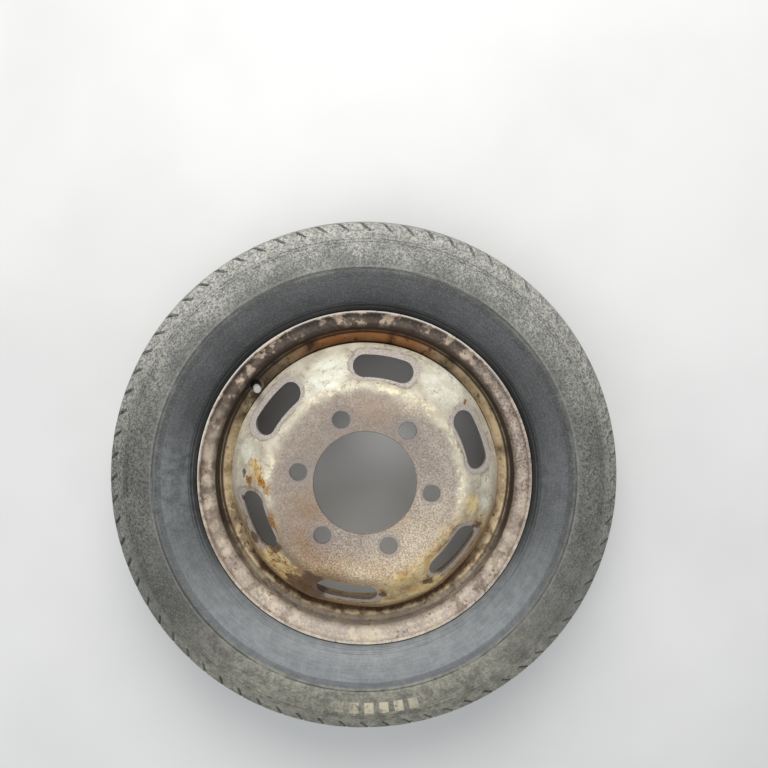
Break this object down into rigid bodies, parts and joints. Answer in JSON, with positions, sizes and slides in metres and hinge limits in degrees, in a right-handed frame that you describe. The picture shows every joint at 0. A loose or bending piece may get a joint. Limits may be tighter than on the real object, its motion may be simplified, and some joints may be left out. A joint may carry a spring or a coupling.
{
  "type": "steel van wheel with tyre",
  "caption": "Worn pressed steel light-van wheel with a domed disc, oval hand holes, a round stud pattern, a mounted radial tyre and a snap-in valve.",
  "frame": {"origin": "on the wheel's axis, in the plane of the disc's hub mounting face", "axes": "+Z along the wheel's axis, outboard, so the wheel lies on its inboard sidewall; +X towards the valve"},
  "size_m": [0.6939, 0.694, 0.2169],
  "materials": {
    "tyre_rubber": "matte, weathered and dusty",
    "rim_steel": "worn paint with rust",
    "disc_steel": "worn cream paint with rust",
    "weld_steel": "rusty weld bead",
    "valve_rubber": "matte",
    "valve_brass": "dull",
    "gasket_red": "matte",
    "spring_steel": "plain wire",
    "seal_rubber": "matte",
    "cap_plastic": "satin grey"
  },
  "bodies": {
    "wheel": {"tyre": "tyre_rubber", "rim": "rim_steel", "disc": "disc_steel", "disc_welds": "weld_steel", "valve_body": "valve_rubber", "valve_stem": "valve_brass", "core_barrel": "valve_brass", "core_gasket": "gasket_red", "core_spring": "spring_steel"},
    "valve_pin": {"core_pin": "valve_brass", "core_seal": "seal_rubber"},
    "cap_lift": {"cap_seal": "seal_rubber"},
    "cap": {"valve_cap": "cap_plastic"}
  },
  "joints": [
    {"name": "pin_press", "type": "slide", "parent": "wheel", "child": "valve_pin", "axis": [0.2756, 0, -0.9613], "range_m": [0, 0.0012], "stiffness_N_per_m": 1000, "springref_m": -0.002, "deforming": ["core_spring"]},
    {"name": "cap_rise", "type": "slide", "parent": "wheel", "child": "cap_lift", "axis": [-0.2756, 0, 0.9613], "range_m": [0, 0.00357]},
    {"name": "cap_turn", "type": "hinge", "parent": "cap_lift", "child": "cap", "pos_m": [0.1854, 0, -0.04965], "axis": [-0.2756, 0, 0.9613], "range_deg": [0, 1620]}
  ],
  "couplings": [
    {"joint": "cap_turn", "follows": "cap_rise", "rad_per_m": 7913.3}
  ]
}
